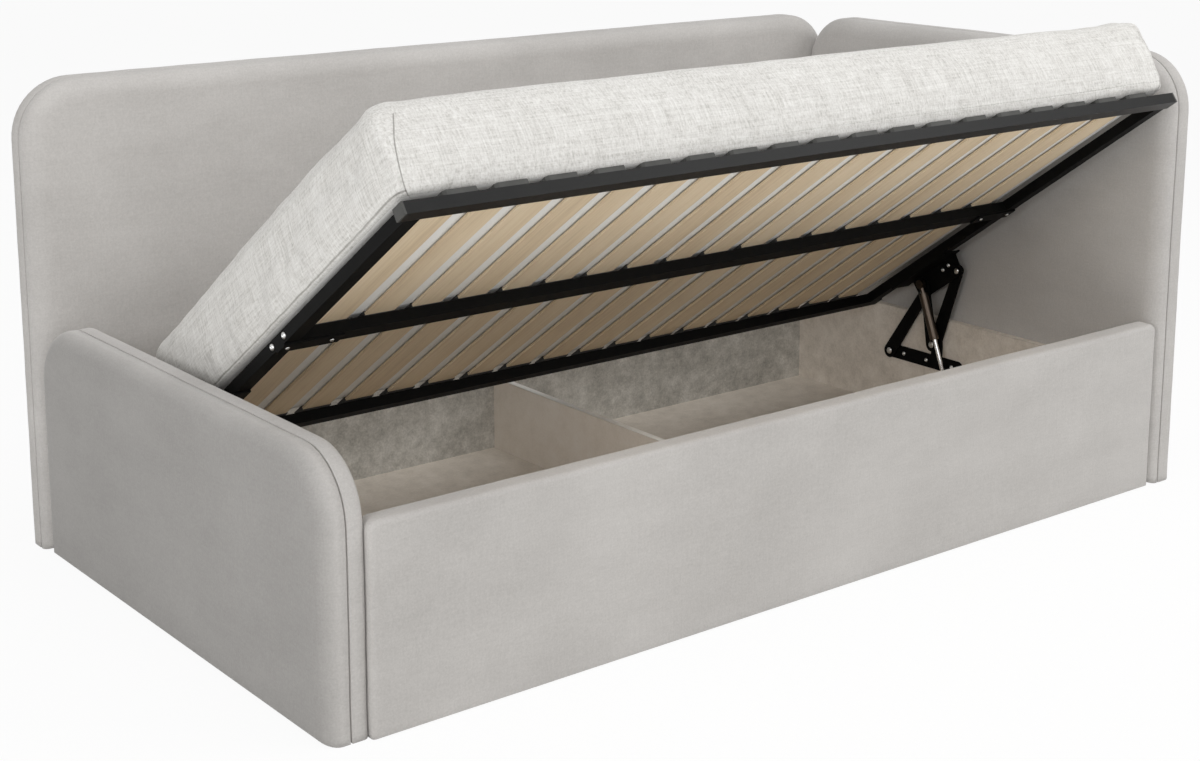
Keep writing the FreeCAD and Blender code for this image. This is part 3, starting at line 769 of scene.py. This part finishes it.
# Places on the flat platform, as (y, z) or along one axis.
FRONT_PIN = (-0.280, -0.040)
REAR_PIN = (-0.150, -0.040)
BRACKET_SCREWS = ((-0.156, -0.017), (-0.240, -0.019), (-0.262, -0.017))
BEAM_MIDDLE = -0.523
BOLT_OFFSET = 0.026
RAIL_FACE = 0.943
RAIL_MIDDLE = 0.011
PLATE_SCREWS = (0.930, 0.842)
PLATE_UNDERSIDE = -0.004


def turned(profile, place):
    """Points and faces of a form turned about Z from (radius, height) pairs, then put in place."""
    points, faces = [], []
    for radius, height in profile:
        ring = [(radius * math.cos(turn), radius * math.sin(turn), height)
                for turn in (2 * math.pi * step / HEAD_SIDES for step in range(HEAD_SIDES))]
        points += [place @ Vector(point) for point in ring]
    for start in range(0, len(points) - HEAD_SIDES, HEAD_SIDES):
        for step in range(HEAD_SIDES):
            after = (step + 1) % HEAD_SIDES
            faces.append((start + step, start + after,
                          start + HEAD_SIDES + after, start + HEAD_SIDES + step))
    faces.append(tuple(range(HEAD_SIDES)))
    faces.append(tuple(range(len(points) - HEAD_SIDES, len(points))))
    return points, faces


def button_profile(radius):
    """The head of a button screw with a round recess for its key, all in shares of its radius."""
    height, recess = radius * 0.62, radius * 0.42
    dome = [(radius * math.cos(turn), height * math.sin(turn))
            for turn in (math.radians(angle) for angle in (0, 15, 30, 45, 60))]
    return ([(radius, -HEAD_SINK)] + dome
            + [(recess, height * 0.95), (recess * 0.96, height * 0.4), (recess * 0.2, height * 0.34)])


def rivet_profile(radius):
    """The low dome of a rivet on its collar, all in shares of its radius."""
    height = radius * 0.45
    collar = [(radius, -HEAD_SINK), (radius, height * 0.3), (radius * 0.86, height * 0.42)]
    return collar + [(radius * 0.8 * math.cos(turn), height * (0.45 + 0.55 * math.sin(turn)))
                     for turn in (math.radians(angle) for angle in (0, 20, 40, 60, 80))]


def fastened(name, body, profile, places, facing):
    """A set of like heads as one zinc piece, each on its own point and all facing one way."""
    points, faces = [], []
    turn = Vector(facing).to_track_quat("Z", "Y").to_matrix().to_4x4()
    for place in places:
        more, skin = turned(profile, Matrix.Translation(place) @ turn)
        faces += [tuple(index + len(points) for index in face) for face in skin]
        points += more
    piece(name, mesh_from(name, points, faces), ZINC, body)


def on_platform(x, y, z):
    """A place of the flat platform as it is when lifted."""
    return LIFTED @ Vector((x, y, z))


def fasteners():
    """Bolts, rivets and screws of the frame and the two lifting mechanisms."""
    down = LIFTED.to_3x3() @ Vector((0, 0, -1))
    for side, sign in SIDES:
        inward, outward = (-sign, 0, 0), (sign, 0, 0)
        bolts = [on_platform(sign * RAIL_FACE, BEAM_MIDDLE + offset, RAIL_MIDDLE)
                 for offset in (-BOLT_OFFSET, BOLT_OFFSET)]
        fastened(f"beam_bolts_{side}", "platform", button_profile(BOLT_HEAD), bolts, outward)
        plate = [on_platform(sign * x, BEAM_MIDDLE, PLATE_UNDERSIDE) for x in PLATE_SCREWS]
        fastened(f"plate_screws_{side}", "platform", button_profile(PLATE_SCREW_HEAD), plate, down)
        pins = [on_platform(sign * RIVET_FACE, *pin) for pin in (FRONT_PIN, REAR_PIN)]
        fastened(f"bracket_rivets_{side}", "platform", rivet_profile(RIVET_HEAD), pins, inward)
        screws = [on_platform(sign * BRACKET_FACE, *screw) for screw in BRACKET_SCREWS]
        fastened(f"bracket_screws_{side}", "platform", button_profile(SCREW_HEAD), screws, inward)
        base = [Vector((sign * BASE_FACE, y, REAR_PIVOT[1])) for y in BASE_SCREWS]
        fastened(f"base_screws_{side}", "box", button_profile(SCREW_HEAD), base, inward)
        ends = [Vector((sign * face, *pivot)) for face, pivot in PIVOT_ENDS]
        fastened(f"pivot_rivets_{side}", "box", rivet_profile(PIVOT_HEAD), ends, inward)


# Edge bands of the boards

BANDED = (("left_wall", BOARD), ("right_wall", BOARD), ("back_wall", LINING), ("divider", BAND))
BAND_RISE = 0.0008
BAND_SINK = 0.0006
BAND_SHOULDER = BAND_RISE * 0.3


def edge_band(name, low, high, finish):
    """A thin strip glued along the top edge of a board, rounded where it meets the faces."""
    span = high - low
    along = 0 if span.x > span.y else 1
    across = 1 - along
    width = span[across]
    section = [(0.0, -BAND_SINK), (0.0, BAND_SHOULDER), (BAND_RISE, BAND_RISE),
               (width - BAND_RISE, BAND_RISE), (width, BAND_SHOULDER), (width, -BAND_SINK)]
    points, count = [], len(section)
    for end in (low[along], high[along]):
        for side, up in section:
            point = Vector((0, 0, high.z + up))
            point[along], point[across] = end, low[across] + side
            points.append(point)
    faces = [(step, (step + 1) % count, count + (step + 1) % count, count + step)
             for step in range(count)]
    faces += [tuple(range(count)), tuple(range(count, 2 * count))]
    piece(name, mesh_from(name, points, faces), finish, "box")


def edge_bands():
    """Bands on the boards whose top edges show."""
    for name, finish in BANDED:
        low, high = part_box(name)
        edge_band(f"{name}_band", Vector(low), Vector(high), finish)


# Studio

FLOOR_REACH = 40.0
FLOOR_LEVEL = -0.0006
FLOOR_COLOUR = (0.90, 0.90, 0.89, 1.0)
FLOOR_GLOW = 0.93
SKY_COLOUR = (1.0, 0.995, 0.985, 1.0)
SKY_STRENGTH = 0.355
# A lamp's name, place, target, width and height, and power in watts.
LAMPS = (
    ("front_left", (-2.4, -5.0, 2.4), (0.1, 0.0, 0.4), (3.2, 2.4), 40),
    ("front_right", (2.9, -3.6, 3.3), (0.1, 0.0, 0.4), (2.6, 2.2), 76),
    ("left", (-5.2, -1.8, 2.2), (-0.3, -0.3, 0.3), (2.2, 1.8), 92),
    ("above", (0.6, -0.9, 4.7), (0.2, 0.1, 0.4), (3.6, 2.8), 70),
)
# The photograph's size, its focal length and the row of its optical axis, in pixels.
PHOTO_WIDTH, PHOTO_HEIGHT = 1200, 761
FOCAL_PIXELS = 1993.0
AXIS_ROW = 211.7
SENSOR_WIDTH = 36.0
CAMERA_PLACE = (-2.5457, -3.1606, 1.4722)
CAMERA_DIP = 11.472
CAMERA_TURN = 38.039
CAMERA_RANGE = 120


def lay_floor(scene):
    """A pale floor that shows nearly white but keeps the bed's shadow."""
    corners = [(x * FLOOR_REACH, y * FLOOR_REACH, FLOOR_LEVEL)
               for x, y in ((-1, -1), (1, -1), (1, 1), (-1, 1))]
    mesh = mesh_from("floor", corners, [(0, 1, 2, 3)])
    floor = bpy.data.objects.new("floor", mesh)
    scene.collection.objects.link(floor)
    finish = Finish("pale_floor", roughness=0.9)
    finish.colour(FLOOR_COLOUR)
    glow = finish.node("ShaderNodeEmission", None, {"Strength": 1.0})
    shaded = Signal(finish, finish.shader.outputs[0])
    mixed = finish.node("ShaderNodeMixShader", None,
                        {0: finish.shown_rays() * FLOOR_GLOW, 1: shaded, 2: glow})
    finish.feed(finish.tree.nodes["Material Output"].inputs["Surface"], mixed)
    mesh.materials.append(finish.material)


def surround(scene):
    """A world that is white to look at and lights the bed softly from all round."""
    world = bpy.data.worlds.new("studio")
    scene.world = world
    world.use_nodes = True
    studio = Wiring(world.node_tree)
    light = studio.node("ShaderNodeBackground", None, {"Color": SKY_COLOUR, "Strength": SKY_STRENGTH})
    white = studio.node("ShaderNodeBackground", None, {"Strength": 1.0})
    sky = studio.node("ShaderNodeMixShader", None, {0: studio.shown_rays(), 1: light, 2: white})
    studio.feed(studio.tree.nodes["World Output"].inputs["Surface"], sky)


def lamp(scene, name, place, target, size, power):
    """A soft studio lamp that faces a target."""
    light = bpy.data.lights.new(name, "AREA")
    light.shape = "RECTANGLE"
    light.size, light.size_y = size
    light.energy = power
    made = bpy.data.objects.new(name, light)
    scene.collection.objects.link(made)
    made.location = place
    made.rotation_euler = (Vector(target) - Vector(place)).to_track_quat("-Z", "Y").to_euler()


def aim_camera(scene):
    """A camera where the photograph was taken from, with the photograph's framing."""
    view = bpy.data.cameras.new("camera")
    camera = bpy.data.objects.new("camera", view)
    scene.collection.objects.link(camera)
    camera.location = CAMERA_PLACE
    camera.rotation_euler = Euler((math.radians(90 - CAMERA_DIP), 0.0, math.radians(-CAMERA_TURN)))
    view.sensor_width = SENSOR_WIDTH
    view.lens = SENSOR_WIDTH * FOCAL_PIXELS / PHOTO_WIDTH
    view.shift_y = -(PHOTO_HEIGHT / 2 - AXIS_ROW) / PHOTO_WIDTH
    view.clip_end = CAMERA_RANGE
    scene.camera = camera


def stage():
    """Floor, lights and camera."""
    scene = bpy.context.scene
    scene.view_settings.view_transform = "Standard"
    lay_floor(scene)
    surround(scene)
    for settings in LAMPS:
        lamp(scene, *settings)
    aim_camera(scene)


upholster()
mattress()
dress_solids()
fasteners()
edge_bands()
stage()
